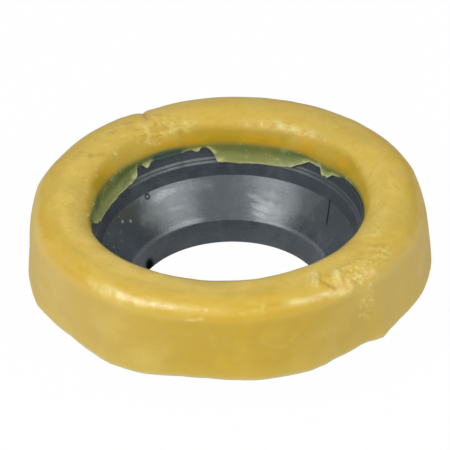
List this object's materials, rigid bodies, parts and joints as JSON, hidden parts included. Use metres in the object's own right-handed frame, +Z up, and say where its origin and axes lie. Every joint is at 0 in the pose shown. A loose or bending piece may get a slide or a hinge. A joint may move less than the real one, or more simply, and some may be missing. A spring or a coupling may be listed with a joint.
{
  "type": "toilet pan seal",
  "caption": "Thick round wax ring cast on a tapered dark plastic horn, pressed between a toilet pan's outlet and its waste pipe to seal the joint.",
  "frame": {"origin": "the middle of the horn's bottom rim, in the plane of that rim", "axes": "+Z runs up the bore, from the horn's outlet to the wax ring's crown; +X is to the right and +Y away, as the picture is seen"},
  "size_m": [0.1398, 0.1396, 0.044],
  "materials": {
    "wax": "satin, slightly greasy soft amber wax that light enters a little",
    "plastic": "satin dark grey moulded plastic"
  },
  "bodies": {
    "root": {"wax_ring": "wax", "horn": "plastic"}
  },
  "joints": []
}
